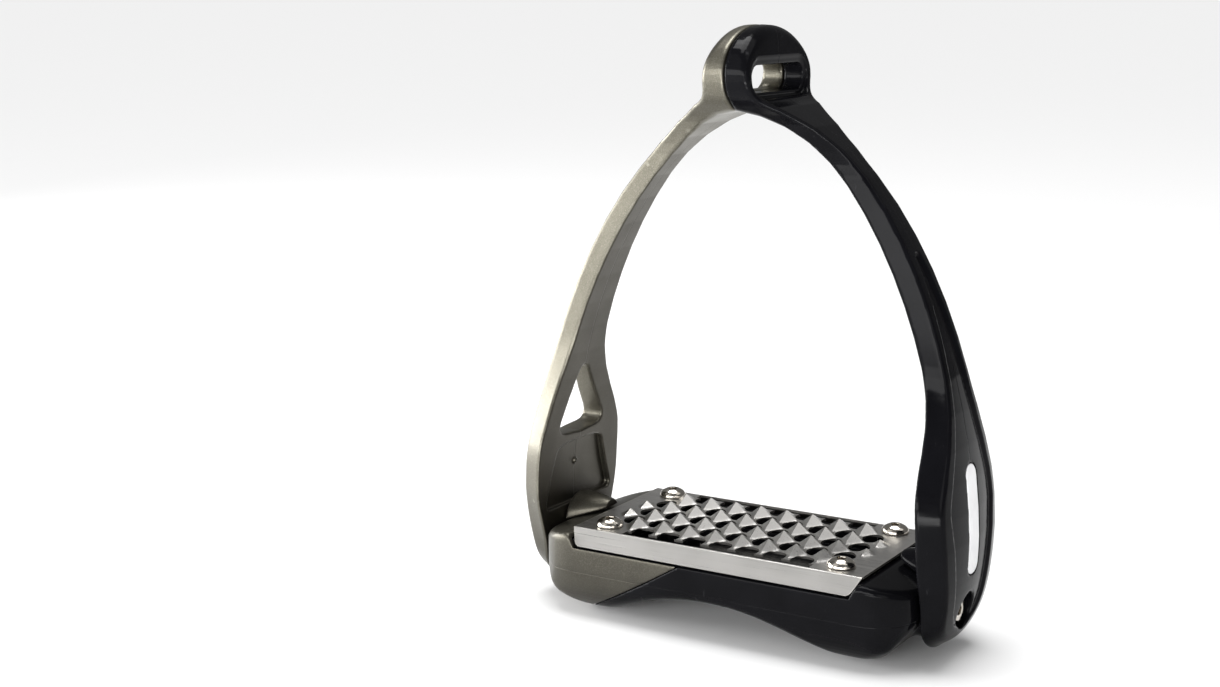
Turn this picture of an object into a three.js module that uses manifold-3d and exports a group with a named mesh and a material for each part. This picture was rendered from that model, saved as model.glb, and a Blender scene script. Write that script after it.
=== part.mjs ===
// Safety stirrup iron: two arms whose eye halves lie face to face, a fixed one and one that swings
// outward to let the foot go, joined at the foot by a moulded base with a grip-plate tread.
// Millimetres. +Z up, +X from the fixed arm to the release arm, origin under the middle of the base.
import * as THREE from 'three';
import { mergeVertices } from 'three/addons/utils/BufferGeometryUtils.js';
import Module from 'manifold-3d';

const wasm = await Module();
wasm.setup();

// ---- driving dimensions -------------------------------------------------------------------------
const GAP = 0.3;                 // clearance between pieces that touch
const INNER_WIDTH = 120;         // between the arms at the tread, the size the iron is sold by
const TREAD_TOP = 26;            // top of the tread plate above the ground
const OVERALL_HEIGHT = 171.6;

const ARM_INNER = INNER_WIDTH / 2;
const ARM_OUTER = 69.2;          // outer face at the foot
const ARM_HALF_WIDTH = 22.6;     // widest, at the knee, on the inner side
const OUTER_FACE_HALF_WIDTH = 18; // the foot tapers to this on the outer side
const KNEE_Z = 41;
const ARM_BOTTOM = 2;
const NECK_HALF_WIDTH = 3.9;
const RECESS_DEPTH = 1;

const EYE_CENTRE_Z = 158.5;
const EYE_HALF_WIDTH = 20.6;
const EYE_THICKNESS = 7.2;       // each half, outward from the split
const EYE_UNDERSIDE = 148.4;
const SLOT_Z = 157.1;
const SLOT_LENGTH = 31.5;
const SLOT_HEIGHT = 7.5;

const BASE_HALF_LENGTH = ARM_INNER - GAP;
const BASE_HALF_DEPTH = 29.4;
const BASE_CORNER = 17;
const BASE_END_TOP = TREAD_TOP - 0.5;
const END_SLOPE_FROM = 48;       // the ends slope down from here
const END_LIP_Z = 21.5;          // to this height beside the arm
const CAP_WALL = 2.3;
const HOUSING_RADIUS = 9.2;
const DOME_TOP = 29.6;
const DOME_HALF_WIDTH = 6.8;

const PLATE_HALF_LENGTH = 46;
const PLATE_THICKNESS = 1.5;
const PLATE_HALF_FLAT = 24.3;
const FLANGE_RUN = 3.6;
const FLANGE_DROP = 5.2;
const FLANGE_END_CUT = 2.6;
const GRIP_PITCH_X = 8.55;
const GRIP_PITCH_Y = 9.6;
const GRIP_COLUMNS = 9;
const GRIP_ROWS = 5;
const TOOTH_HEIGHT = 2.8;
const TOOTH_HALF_X = 4.1;
const TOOTH_HALF_Y = 4.6;
const HOLE_HALF_X = 3.1;
const HOLE_HALF_Y = 4.1;

const TREAD_SCREW_X = 37.2;
const TREAD_SCREW_Y = 18.7;
const SHANK_RADIUS = 2;          // M4 screws throughout
const CLEAR_RADIUS = SHANK_RADIUS + GAP;
const INSERT_RADIUS = 3;

const FOOT_SCREW_Z = 13.2;
const POCKET_RADIUS = 5.2;
const POCKET_FLOOR = ARM_INNER - 0.8;
const BOSS_TIP = ARM_INNER - 5;
const BOSS_TIP_RADIUS = 5.3;
const BOSS_ROOT_RADIUS = 7.6;

// ---- helpers ------------------------------------------------------------------------------------
function solid(geometry) {
  const g = geometry.clone();
  g.deleteAttribute('normal');
  g.deleteAttribute('uv');
  const merged = mergeVertices(g, 1e-4);
  return new wasm.Manifold(new wasm.Mesh({
    numProp: 3,
    vertProperties: new Float32Array(merged.attributes.position.array),
    triVerts: new Uint32Array(merged.index.array),
  }));
}

function geometryOf(manifold) {
  const mesh = manifold.getMesh();
  const geometry = new THREE.BufferGeometry();
  geometry.setAttribute('position', new THREE.BufferAttribute(new Float32Array(mesh.vertProperties), 3));
  geometry.setIndex(new THREE.BufferAttribute(new Uint32Array(mesh.triVerts), 1));
  geometry.computeVertexNormals();
  return geometry;
}

const cut = (body, ...tools) => tools.reduce((rest, tool) => rest.subtract(tool), body);
const common = (body, ...others) => others.reduce((rest, other) => rest.intersect(other), body);

// A prism of a (y, z) outline between two x planes.
function prismX(outline, x0, x1, segments = 6) {
  const depth = Math.abs(x1 - x0);
  const g = new THREE.ExtrudeGeometry(outline, { depth, bevelEnabled: false, curveSegments: segments });
  g.applyMatrix4(new THREE.Matrix4().set(0, 0, 1, Math.min(x0, x1), 1, 0, 0, 0, 0, 1, 0, 0, 0, 0, 0, 1));
  return solid(g);
}

// A prism of an (x, z) outline between -halfDepth and +halfDepth in y.
function prismY(outline, halfDepth, segments = 6) {
  const g = new THREE.ExtrudeGeometry(outline, {
    depth: 2 * halfDepth, bevelEnabled: false, curveSegments: segments,
  });
  g.rotateX(Math.PI / 2);
  g.translate(0, halfDepth, 0);
  return solid(g);
}

// A prism of an (x, y) outline between two z planes.
function prismZ(outline, z0, z1, segments = 6) {
  const options = { depth: z1 - z0, bevelEnabled: false, curveSegments: segments };
  const g = new THREE.ExtrudeGeometry(outline, options);
  g.translate(0, 0, z0);
  return solid(g);
}

// A turned piece: (radius, height) points round +Z, from the axis back to the axis or closed.
function turned(points, segments = 20) {
  const g = new THREE.LatheGeometry(points.map(([r, h]) => new THREE.Vector2(r, h)), segments);
  return g.rotateX(Math.PI / 2);
}

// The same, with its axis laid along +X or -X through (0, FOOT_SCREW_Z); heights become x.
function turnedAlongX(points, side, segments = 20) {
  const g = turned(points, segments);
  g.rotateY(side * Math.PI / 2);
  return g.translate(0, 0, FOOT_SCREW_Z);
}

function polygon(points) {
  return new THREE.Shape(points.map(([u, v]) => new THREE.Vector2(u, v)));
}

// A closed outline that is symmetric about u = 0, from its right half walked upward.
function mirrored(half) {
  const left = half.map((p) => new THREE.Vector2(-p.x, p.y)).reverse();
  const onAxis = (p) => Math.abs(p.x) < 1e-9;
  return new THREE.Shape([...half, ...left.filter((p) => !onAxis(p))]);
}

function roundedRectangle(halfU, halfV, radius, u = 0, v = 0) {
  const s = new THREE.Shape();
  s.absarc(u + halfU - radius, v + halfV - radius, radius, 0, Math.PI / 2);
  s.absarc(u - halfU + radius, v + halfV - radius, radius, Math.PI / 2, Math.PI);
  s.absarc(u - halfU + radius, v - halfV + radius, radius, Math.PI, 1.5 * Math.PI);
  s.absarc(u + halfU - radius, v - halfV + radius, radius, 1.5 * Math.PI, 2 * Math.PI);
  s.closePath();
  return s;
}

const group = new THREE.Group();

function add(name, shape, { color, roughness = 0.4, metalness = 0 }) {
  const geometry = shape.isBufferGeometry ? shape : geometryOf(shape);
  const mesh = new THREE.Mesh(geometry, new THREE.MeshStandardMaterial({ color, roughness, metalness }));
  mesh.name = name;
  group.add(mesh);
}

const PEWTER = { color: 0x8f8c80, roughness: 0.35, metalness: 0.7 };
const BLACK = { color: 0x0c0c0e, roughness: 0.15 };
const STAINLESS = { color: 0xa5a29e, roughness: 0.3, metalness: 1 };
const STEEL = { color: 0xb9b4a8, roughness: 0.15, metalness: 1 };
const BRASS = { color: 0xb08d4a, roughness: 0.35, metalness: 1 };
const SPRING = { color: 0x7d7f82, roughness: 0.25, metalness: 1 };
const BADGE = { color: 0x1f5fae, roughness: 0.1 };
const LABEL = { color: 0xe6e6e8, roughness: 0.4 };

// ---- arms ---------------------------------------------------------------------------------------
// Seen from the side: round foot, knee, slim neck and the wide eye.
function armOutline() {
  const footZ = 13.2;
  const half = new THREE.Path();
  half.absellipse(0, footZ, 17.6, footZ - ARM_BOTTOM, -Math.PI / 2, 0);
  half.bezierCurveTo(18.6, 22, ARM_HALF_WIDTH, 30, ARM_HALF_WIDTH, KNEE_Z);
  half.bezierCurveTo(ARM_HALF_WIDTH - 0.2, 50, 8.8, 64, 8.4, 82);
  half.lineTo(NECK_HALF_WIDTH, 131);
  half.bezierCurveTo(NECK_HALF_WIDTH, 150, EYE_HALF_WIDTH, 147, EYE_HALF_WIDTH, EYE_CENTRE_Z);
  half.absellipse(0, EYE_CENTRE_Z, EYE_HALF_WIDTH, OVERALL_HEIGHT - EYE_CENTRE_Z, 0, Math.PI / 2);
  return mirrored(half.getPoints(6));
}

// The sunken field of the outer face, inside a raised rim.
function recessOutline() {
  const half = new THREE.Path();
  half.moveTo(0, 7.5);
  half.bezierCurveTo(6, 7.5, 9.5, 10, 10.8, 17);
  half.lineTo(13.2, 43);
  half.bezierCurveTo(13.4, 52, 6.4, 64, 5.2, 79);
  half.lineTo(2, 109);
  half.absarc(0, 109, 2, 0, Math.PI / 2);
  return mirrored(half.getPoints(5));
}

// Rounded triangle under the neck.
function windowOutline() {
  const half = new THREE.Path();
  half.moveTo(0, 48.2);
  half.lineTo(8, 48.8);
  half.bezierCurveTo(11, 49, 12, 50.5, 10.8, 53);
  half.lineTo(2.4, 67.2);
  half.bezierCurveTo(1.4, 69, 0.8, 69.3, 0, 69.3);
  return mirrored(half.getPoints(4));
}

// Seen from the front: the eye block, the arch and the upright foot. inset sinks the outer face.
function archOutline(side, inset = 0) {
  const x = (value) => side * value;
  const s = new THREE.Shape();
  s.moveTo(x(GAP / 2), OVERALL_HEIGHT + 1);
  s.lineTo(x(EYE_THICKNESS - 3), OVERALL_HEIGHT + 1);
  s.bezierCurveTo(x(EYE_THICKNESS), 170.5, x(EYE_THICKNESS), 168, x(EYE_THICKNESS), 166);
  s.lineTo(x(EYE_THICKNESS), 156.5);
  s.bezierCurveTo(x(EYE_THICKNESS), 152.5, x(9.5), 151.4, x(13), 149.6 - inset);
  s.bezierCurveTo(x(53.2 - inset), 127.2 - inset, x(ARM_OUTER - 1.4 - inset), 71, x(ARM_OUTER - inset), 34);
  s.bezierCurveTo(x(ARM_OUTER - inset), 18, x(67 - inset), 9, x(ARM_INNER + 2 - inset), ARM_BOTTOM - 0.5);
  s.lineTo(x(ARM_INNER), ARM_BOTTOM - 0.5);
  s.lineTo(x(ARM_INNER), 30);
  s.bezierCurveTo(x(ARM_INNER), 42, x(58.6), 50, x(58.3), 60);
  s.bezierCurveTo(x(57.6), 88, x(30.5), 145.6, x(GAP / 2), EYE_UNDERSIDE);
  s.closePath();
  return s;
}

// The cone under the foot that centres the arm in the base; it leaves the base cleanly as the arm swings.
function bossCone(side, grow, from, to) {
  const slope = (BOSS_ROOT_RADIUS - BOSS_TIP_RADIUS) / (ARM_INNER - BOSS_TIP);
  const radius = (x) => BOSS_TIP_RADIUS + grow + slope * (x - BOSS_TIP);
  return solid(turnedAlongX([[0, from], [radius(from), from], [radius(to), to], [0, to]], side, 24));
}

function rod(side, radius, from, to, segments = 20) {
  return solid(turnedAlongX([[0, from], [radius, from], [radius, to], [0, to]], side, segments));
}

// Seen from above: the side faces of the foot draw in towards the outer face.
function footTaper(side) {
  const inner = side * (ARM_INNER + 0.5);
  const outer = side * (ARM_OUTER + 1);
  const w = OUTER_FACE_HALF_WIDTH;
  const wide = ARM_HALF_WIDTH + 1;
  const plan = polygon([[0, -wide], [inner, -wide], [outer, -w], [outer, w], [inner, wide], [0, wide]]);
  return prismZ(plan, -1, OVERALL_HEIGHT + 5);
}

function armBlank(side) {
  const reach = side * 80;
  const full = common(prismX(armOutline(), 0, reach), prismY(archOutline(side), 30, 10), footTaper(side));
  const field = prismX(recessOutline(), side * 20, reach);
  const skin = cut(field, prismY(archOutline(side, RECESS_DEPTH), 30, 10));
  const slot = roundedRectangle(SLOT_LENGTH / 2, SLOT_HEIGHT / 2, SLOT_HEIGHT / 2 - 0.05, 0, SLOT_Z);
  const body = cut(full, skin, prismX(slot, side * -1, side * 20, 5));
  const withBoss = body.add(bossCone(side, 0, BOSS_TIP, ARM_INNER + 0.5));
  return cut(withBoss, rod(side, POCKET_RADIUS, POCKET_FLOOR, 80, 24), rod(side, CLEAR_RADIUS, 50, 62));
}

const PANEL_DEPTH = 1.5;
const BADGE_Z = 35.8;
const BADGE_HALF = [11.2, 6];
const BADGE_FLOOR = ARM_OUTER - RECESS_DEPTH - 1.2;

function greyArm() {
  const side = -1;
  const window = prismX(windowOutline(), side * 50, side * 80, 4);
  const trapezoid = polygon([[-17.5, 26.5], [17.5, 26.5], [11.5, 45], [-11.5, 45]]);
  const panel = prismX(trapezoid, side * 50, side * (ARM_INNER + PANEL_DEPTH));
  const badgePocket = prismX(
    roundedRectangle(BADGE_HALF[0], BADGE_HALF[1], 2.6, 0, BADGE_Z), side * BADGE_FLOOR, side * 80, 4,
  );
  return cut(armBlank(side), window, panel, badgePocket);
}

const LABEL_Z = 39.4;
const LABEL_HALF = [3.6, 15.5];
const COVER_DEPTH = 1.5;

// Arch-topped panel on the inner face of the release arm.
function coverOutline(shrink = 0) {
  const half = new THREE.Path();
  half.moveTo(0, 29 + shrink);
  half.lineTo(13.5 - shrink, 29 + shrink);
  half.lineTo(15.5 - shrink, 46);
  half.bezierCurveTo(15.5 - shrink, 56, 6.5 - shrink, 63 - shrink, 0, 63 - shrink);
  return mirrored(half.getPoints(6));
}

function blackArm() {
  const labelPocket = prismX(
    roundedRectangle(LABEL_HALF[0], LABEL_HALF[1], 3.3, 0, LABEL_Z), ARM_OUTER - RECESS_DEPTH - 0.9, 80, 4,
  );
  const coverPocket = prismX(coverOutline(), 50, ARM_INNER + COVER_DEPTH);
  const studSeat = rod(1, 3.7, 50, 58);
  return cut(armBlank(1), labelPocket, coverPocket, studSeat);
}

add('fixed_arm', greyArm(), PEWTER);
add('release_arm', blackArm(), BLACK);

// Cover panel, trimmed to the arch so that it stays inside the arm's inner face.
function latchCover() {
  const panel = prismX(coverOutline(GAP), ARM_INNER + 0.1, ARM_INNER + COVER_DEPTH - GAP);
  return common(panel, prismY(archOutline(1), 30, 10));
}
add('release_arm_cover', latchCover(), BLACK);

// Domed resin badge and flat label, each in its shallow pocket.
function pillow(halfU, halfV, radius, z, side, from, height) {
  const outline = roundedRectangle(halfU, halfV, radius, 0, z);
  const crown = roundedRectangle(halfU - 1, halfV - 1, radius - 0.8, 0, z);
  const middle = from + height * 0.7;
  return prismX(outline, side * from, side * middle, 4).add(
    prismX(crown, side * (middle - 0.1), side * (from + height), 4),
  );
}
const badge = pillow(BADGE_HALF[0] - GAP, BADGE_HALF[1] - GAP, 2.4, BADGE_Z, -1, BADGE_FLOOR + GAP, 1.2);
const label = pillow(LABEL_HALF[0] - GAP, LABEL_HALF[1] - GAP, 3, LABEL_Z, 1, ARM_OUTER - 1.6, 0.8);
add('badge', badge, BADGE);
add('label', label, LABEL);

// ---- base ---------------------------------------------------------------------------------------
// Front view: flat foot under each end, an arch between them, ends that rise to meet the arms.
function baseProfile(inset) {
  const end = BASE_HALF_LENGTH - inset;
  const top = BASE_END_TOP - inset;
  const s = new THREE.Shape();
  s.moveTo(inset - END_SLOPE_FROM, top);
  s.lineTo(-end, END_LIP_Z - inset);
  s.lineTo(-end, 13 + inset);
  s.bezierCurveTo(-end + 4, 10 + inset, -50, inset, -43 + inset / 2, inset);
  s.lineTo(-36, inset);
  s.bezierCurveTo(-24, 5 + inset, -16, 10.3 + inset, 0, 10.3 + inset);
  s.bezierCurveTo(16, 10.3 + inset, 24, 5 + inset, 36, inset);
  s.lineTo(43 - inset / 2, inset);
  s.bezierCurveTo(50, inset, end - 4, 10 + inset, end, 13 + inset);
  s.lineTo(end, END_LIP_Z - inset);
  s.lineTo(END_SLOPE_FROM - inset, top);
  s.closePath();
  return s;
}

// Side view: full width at the rim, drawn in and rounded towards the ground.
function baseSection(inset) {
  const y = BASE_HALF_DEPTH - inset;
  const half = new THREE.Path();
  half.moveTo(0, inset);
  half.lineTo(15 - inset, inset);
  half.bezierCurveTo(y - 6, inset, y, 7 + inset, y, 15);
  half.lineTo(y, BASE_END_TOP - 2.5 - inset);
  half.bezierCurveTo(y, BASE_END_TOP - inset, y - 1, BASE_END_TOP - inset, y - 3, BASE_END_TOP - inset);
  half.lineTo(0, BASE_END_TOP - inset);
  return mirrored(half.getPoints(5));
}

function baseBlock(inset) {
  const length = BASE_HALF_LENGTH - inset;
  const plan = roundedRectangle(length, BASE_HALF_DEPTH - inset, BASE_CORNER - inset);
  const shell = common(
    prismY(baseProfile(inset), 40, 6), prismX(baseSection(inset), -70, 70, 5), prismZ(plan, -5, 40, 6),
  );
  const housing = (side) => rod(side, HOUSING_RADIUS - inset, 44, length, 24);
  const belowLip = prismZ(roundedRectangle(80, 20, 1), -5, END_LIP_Z - inset);
  return shell.add(common(housing(1).add(housing(-1)), belowLip));
}

// The seat for the plate: a flat top, sloping shoulders under the flanges and a narrow ledge.
function plateSeat() {
  const seatTop = TREAD_TOP - PLATE_THICKNESS - GAP;
  const ledge = TREAD_TOP - FLANGE_DROP - 1.3;
  const shoulder = [[26.5, ledge], [23.3, seatTop]];
  const left = shoulder.map(([y, z]) => [-y, z]);
  const outline = polygon([[40, 40], [-40, 40], [-40, ledge], ...left, ...shoulder.reverse(), [40, ledge]]);
  const reach = PLATE_HALF_LENGTH + GAP;
  return prismX(outline, -reach, reach);
}

// Everything on the fixed arm's side of the slanting colour split.
function capSide(shift) {
  const outline = polygon([
    [-80, 60], [-PLATE_HALF_LENGTH - shift - 1, 60], [-PLATE_HALF_LENGTH - shift - 1, 22],
    [-7 - shift, 22], [-42 - shift, 1], [-44 - shift, -10], [-80, -10],
  ]);
  return prismY(outline, 40);
}

function upright(x, y, radius, z0, z1, segments = 16) {
  const g = turned([[0, z0], [radius, z0], [radius, z1], [0, z1]], segments);
  return solid(g.translate(x, y, 0));
}

const treadScrewPlaces = [[-1, -1], [-1, 1], [1, -1], [1, 1]].map(
  ([i, j]) => [i * TREAD_SCREW_X, j * TREAD_SCREW_Y],
);
const INSERT_TOP = TREAD_TOP - PLATE_THICKNESS - 2 * GAP;
const INSERT_LENGTH = 8;
const CLIP_RADIUS = 6;
const CLIP_FROM = 51.7;
const CLIP_THICKNESS = 1;

function baseHoles() {
  const bores = treadScrewPlaces.flatMap(([x, y]) => [
    upright(x, y, INSERT_RADIUS + GAP, INSERT_TOP - INSERT_LENGTH - GAP, 30),
    upright(x, y, CLEAR_RADIUS, 11.5, 30),
  ]);
  const sockets = [1, -1].map((side) => bossCone(side, GAP, BOSS_TIP - GAP, 70));
  const fixedBore = rod(-1, INSERT_RADIUS + GAP, 45.7, 60);
  const catchBore = rod(1, CLIP_RADIUS - 0.6, 47.5, 60, 24);
  const clipGroove = rod(1, CLIP_RADIUS + GAP, CLIP_FROM - GAP, CLIP_FROM + CLIP_THICKNESS + GAP, 24);
  return [...bores, ...sockets, fixedBore, catchBore, clipGroove];
}

const holes = baseHoles();
const endCap = cut(common(baseBlock(0), capSide(GAP)), plateSeat(), baseBlock(CAP_WALL), ...holes);
const core = common(baseBlock(CAP_WALL + GAP), capSide(-2));
const baseBody = cut(cut(baseBlock(0), capSide(0)).add(core), plateSeat(), ...holes);
add('base_body', baseBody, BLACK);
add('base_end_cap', endCap, PEWTER);

// Hump at each end of the base, between the tread plate and the arm.
function endDome() {
  const outline = new THREE.Shape();
  outline.moveTo(-DOME_HALF_WIDTH, END_LIP_Z - 1);
  outline.bezierCurveTo(-DOME_HALF_WIDTH, DOME_TOP - 2, -4, DOME_TOP, 0, DOME_TOP);
  outline.bezierCurveTo(4, DOME_TOP, DOME_HALF_WIDTH, DOME_TOP - 2, DOME_HALF_WIDTH, END_LIP_Z - 1);
  outline.closePath();
  const under = polygon([
    [END_SLOPE_FROM, BASE_END_TOP + GAP], [BASE_HALF_LENGTH, END_LIP_Z + GAP], [BASE_HALF_LENGTH, DOME_TOP],
    [BASE_HALF_LENGTH - 3, DOME_TOP], [END_SLOPE_FROM, BASE_END_TOP + 1],
  ]);
  return common(prismX(outline, END_SLOPE_FROM, BASE_HALF_LENGTH, 5), prismY(under, DOME_HALF_WIDTH + 1));
}
const dome = endDome();
add('release_end_dome', dome, BLACK);
add('fixed_end_dome', dome.mirror([1, 0, 0]), PEWTER);

// ---- tread --------------------------------------------------------------------------------------
function plateSheet() {
  const bottom = TREAD_TOP - PLATE_THICKNESS;
  const edgeY = PLATE_HALF_FLAT + FLANGE_RUN;
  const edgeZ = TREAD_TOP - FLANGE_DROP;
  const slope = Math.atan2(FLANGE_DROP, FLANGE_RUN);
  const innerY = edgeY - PLATE_THICKNESS * Math.sin(slope);
  const innerZ = edgeZ - PLATE_THICKNESS * Math.cos(slope);
  const kneeY = innerY - (bottom - innerZ) / Math.tan(slope);
  const under = [[0, bottom], [kneeY, bottom], [innerY, innerZ]];
  const half = [...under, [edgeY, edgeZ], [PLATE_HALF_FLAT, TREAD_TOP], [0, TREAD_TOP]];
  const section = mirrored(half.map(([y, z]) => new THREE.Vector2(y, z)));
  const end = PLATE_HALF_LENGTH;
  const corner = [[end - FLANGE_END_CUT, edgeY + 1], [end, PLATE_HALF_FLAT]];
  const quarter = (sx, sy) => corner.map(([x, y]) => [sx * x, sy * y]);
  const plan = polygon([
    ...quarter(1, -1), ...quarter(1, 1).reverse(), ...quarter(-1, 1), ...quarter(-1, -1).reverse(),
  ]);
  return common(prismX(section, -end, end), prismZ(plan, 0, 40));
}

function treadPlate() {
  let plate = plateSheet();
  const middle = (count) => (count - 1) / 2;
  const underScrew = (i, j) => Math.abs(i) >= middle(GRIP_COLUMNS) && Math.abs(j) >= middle(GRIP_ROWS);
  for (let i = -middle(GRIP_COLUMNS); i <= middle(GRIP_COLUMNS); i += 1) {
    for (let j = -middle(GRIP_ROWS); j <= middle(GRIP_ROWS); j += 1) {
      if (underScrew(i, j)) continue;
      const [x, y] = [i * GRIP_PITCH_X, j * GRIP_PITCH_Y];
      const diamond = polygon([
        [x - HOLE_HALF_X, y], [x, y - HOLE_HALF_Y], [x + HOLE_HALF_X, y], [x, y + HOLE_HALF_Y],
      ]);
      plate = plate.subtract(prismZ(diamond, 20, 30));
    }
  }
  for (let i = -middle(GRIP_COLUMNS) + 0.5; i < middle(GRIP_COLUMNS); i += 1) {
    for (let j = -middle(GRIP_ROWS) + 0.5; j < middle(GRIP_ROWS); j += 1) {
      const tooth = new THREE.ConeGeometry(1, TOOTH_HEIGHT, 4).rotateX(Math.PI / 2);
      tooth.scale(TOOTH_HALF_X, TOOTH_HALF_Y, 1);
      tooth.translate(i * GRIP_PITCH_X, j * GRIP_PITCH_Y, TREAD_TOP + TOOTH_HEIGHT / 2 - 0.1);
      plate = plate.add(solid(tooth));
    }
  }
  const screwHoles = treadScrewPlaces.map(([x, y]) => upright(x, y, CLEAR_RADIUS, 20, 30));
  return cut(plate, ...screwHoles);
}
add('tread_plate', treadPlate(), STAINLESS);

// Button-head screw, pointing down, with a hexagon socket.
function buttonScrew() {
  const head = 3.8;
  const shank = [[0, -14], [SHANK_RADIUS, -14], [SHANK_RADIUS, 0]];
  const profile = [...shank, [head, 0], [head, 0.5], [3.2, 1.5], [2.1, 2.3], [0, 2.6]];
  const socket = new THREE.CylinderGeometry(1.35, 1.35, 2.4, 6).rotateX(Math.PI / 2).translate(0, 0, 2.6);
  return solid(turned(profile, 16)).subtract(solid(socket));
}
// A closed (radius, height) loop for a plain sleeve.
const sleeve = (r0, r1, from, to) => [[r0, from], [r1, from], [r1, to], [r0, to], [r0, from]];
const threadedInsert = turned(sleeve(CLEAR_RADIUS, INSERT_RADIUS, 0, INSERT_LENGTH), 16);
treadScrewPlaces.forEach(([x, y], index) => {
  add(`tread_screw_${index + 1}`, buttonScrew().translate([x, y, TREAD_TOP + GAP]), STEEL);
  const insert = threadedInsert.clone().translate(x, y, INSERT_TOP - INSERT_LENGTH);
  add(`tread_insert_${index + 1}`, insert, BRASS);
});

// ---- foot fastenings ----------------------------------------------------------------------------
const WASHER = [POCKET_FLOOR + GAP, POCKET_FLOOR + GAP + 0.8];
const HEAD_FLOOR = WASHER[1] + GAP;
const HEAD_HEIGHT = 4;
const WASHER_RADIUS = 4.4;

function washer(side) {
  const [a, b] = WASHER;
  return turnedAlongX(sleeve(CLEAR_RADIUS, WASHER_RADIUS, a, b), side);
}

function capScrew(side, tip) {
  const top = HEAD_FLOOR + HEAD_HEIGHT;
  const head = 3.5;
  const profile = [
    [0, tip], [SHANK_RADIUS, tip], [SHANK_RADIUS, HEAD_FLOOR], [head, HEAD_FLOOR],
    [head, top - 0.4], [head - 0.4, top], [0, top],
  ];
  const hexagon = new THREE.CylinderGeometry(1.7, 1.7, HEAD_HEIGHT, 6).rotateZ(Math.PI / 2);
  const socket = hexagon.translate(side * top, 0, FOOT_SCREW_Z);
  return solid(turnedAlongX(profile, side)).subtract(solid(socket));
}
add('fixed_arm_washer', washer(-1), STEEL);
add('fixed_arm_screw', capScrew(-1, 47), STEEL);
add('release_arm_washer', washer(1), STEEL);
add('release_arm_screw', capScrew(1, 54), STEEL);

// Threaded insert that the fixed arm's screw turns in.
const footInsert = turnedAlongX(sleeve(CLEAR_RADIUS, INSERT_RADIUS, 46, 54.4), -1, 16);
add('fixed_arm_insert', footInsert, BRASS);

// Catch stud on the release arm: a threaded body, a neck and a mushroom head for the clip to hold.
const studProfile = [
  [0, 49], [1.6, 49], [2.7, 50], [2.7, 50.8], [1.7, 51.4], [1.7, 53], [3.4, 53.6],
  [3.4, 57.7], [CLEAR_RADIUS, 57.7], [CLEAR_RADIUS, 53.7], [0, 53.7],
];
add('catch_stud', turnedAlongX(studProfile, 1), STEEL);

// Split spring ring in the base that grips the stud's neck and spreads when the arm is pulled away.
function catchClip() {
  const ring = new THREE.Shape();
  const open = 0.5;
  ring.absarc(0, 0, CLIP_RADIUS, open, 2 * Math.PI - open);
  ring.absarc(0, 0, 2, 2 * Math.PI - open, open, true);
  ring.closePath();
  return prismX(ring, CLIP_FROM, CLIP_FROM + CLIP_THICKNESS, 10).translate([0, 0, FOOT_SCREW_Z]);
}
add('catch_clip', catchClip(), SPRING);

export default group;
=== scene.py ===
import math
import bmesh
import bpy
import numpy as np
from mathutils import Matrix, Vector


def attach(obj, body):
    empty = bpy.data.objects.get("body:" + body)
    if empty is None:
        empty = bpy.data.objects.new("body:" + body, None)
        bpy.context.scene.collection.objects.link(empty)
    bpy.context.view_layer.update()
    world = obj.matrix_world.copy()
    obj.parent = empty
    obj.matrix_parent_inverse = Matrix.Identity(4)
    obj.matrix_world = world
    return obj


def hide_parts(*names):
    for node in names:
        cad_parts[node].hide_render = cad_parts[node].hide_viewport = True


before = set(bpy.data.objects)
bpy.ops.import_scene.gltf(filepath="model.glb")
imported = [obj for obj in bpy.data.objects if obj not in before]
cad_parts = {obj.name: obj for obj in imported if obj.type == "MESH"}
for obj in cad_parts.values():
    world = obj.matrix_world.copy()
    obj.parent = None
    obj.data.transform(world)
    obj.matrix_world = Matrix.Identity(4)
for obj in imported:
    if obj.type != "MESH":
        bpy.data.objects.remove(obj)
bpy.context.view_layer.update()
MM = 0.001
FINE = 0.46     # mesh step of the moulded pieces, mm

# ---------------------------------------------------------------- sizes of the CAD part, mm
FOOT_Z = 13.2                   # height of the two foot screws
FOOT_BORE = 2.3                 # radius of their clearance hole
FOOT_TAPER = 0.46               # how fast the arms' round foot bosses widen outward from u = 55
EYE_Z = 157.1                   # height of the eye slot's middle
SLOT = (15.75, 3.75)            # half width and half height of the slot
CROWN = 0.0056                  # bulge of an arm's outer face across its width, per mm
BADGE_Z, LABEL_Z = 35.8, 39.4   # heights of the middle of the badge and of the label
BASE_X, BASE_Y = 59.7, 29.4     # half length and half width of the base
BASE_TOP = 25.5                 # height of its upper edge
STEP_Z = 24.2                   # height of the step that the grip plate lies on
CLIP_X = 52.2                   # middle of the catch clip
INSERT_BORE = 3.3               # radius of the holes for the threaded inserts
SCREW_X, SCREW_Y = 37.2, 18.7   # the tread screws, either side of the middle
TREAD = 26.0                    # top of the grip plate's flat margin
PLATE_X, SHEET = 46, 0.7        # half length of the plate and its thickness
END_SLANT = 2.5                 # how much shorter each end of its flange is at the bottom
PX, PY = 8.55, 9.6              # spacing of its holes along and across
COLS, ROWS = 9, 5
TOOTH = 2.8                     # height of its teeth

# ---------------------------------------------------------------- outlines
def bezier(p0, p1, p2, p3, n=14):
    """The n points after p0 on a cubic curve."""
    t = np.linspace(0, 1, n + 1)[1:, None]
    p0, p1, p2, p3 = (np.asarray(p, float) for p in (p0, p1, p2, p3))
    return (1 - t) ** 3 * p0 + 3 * (1 - t) ** 2 * t * p1 + 3 * (1 - t) * t * t * p2 + t ** 3 * p3


def path(start, *steps):
    """Points from start; a step is a corner, or the two handles and the end of a curve."""
    pts = [np.array([start], float)]
    for s in steps:
        pts.append(np.array([s], float) if np.ndim(s[0]) == 0 else bezier(pts[-1][-1], *s))
    return np.vstack(pts)


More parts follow.
